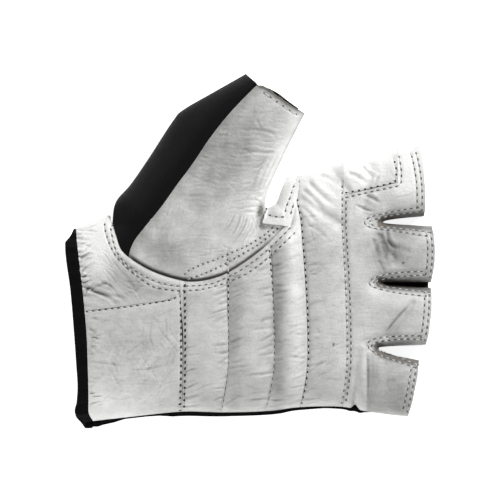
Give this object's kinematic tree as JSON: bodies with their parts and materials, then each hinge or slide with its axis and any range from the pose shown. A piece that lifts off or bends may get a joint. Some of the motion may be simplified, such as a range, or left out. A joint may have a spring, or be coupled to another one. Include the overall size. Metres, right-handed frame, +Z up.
{
  "type": "fitness glove",
  "caption": "Fingerless left-hand fitness glove lying palm up: ribbed padded white leather palm, black stretch back and wrist binding, open thumb and finger stalls.",
  "frame": {"origin": "middle of the glove's footprint, on the surface that it lies on", "axes": "+X along the fingers away from the wrist, +Y towards the thumb side, +Z up out of the palm"},
  "size_m": [0.1622, 0.1558, 0.0238],
  "materials": {
    "white_leather": "soft white glove leather, semi-matt",
    "black_stretch": "matt black stretch weave",
    "black_tape": "matt black elastic binding tape"
  },
  "bodies": {
    "root": {"heel_panel": "white_leather", "wrist_gusset": "white_leather", "quilted_palm": "white_leather", "knuckle_panel": "white_leather", "finger_fronts": "white_leather", "thumb_web": "white_leather", "thumb_front": "white_leather", "thumb_back": "black_stretch", "back_panel": "black_stretch", "fourchette_ring_little": "black_stretch", "fourchette_middle_ring": "black_stretch", "fourchette_index_middle": "black_stretch", "wrist_tape": "black_tape"}
  },
  "joints": []
}
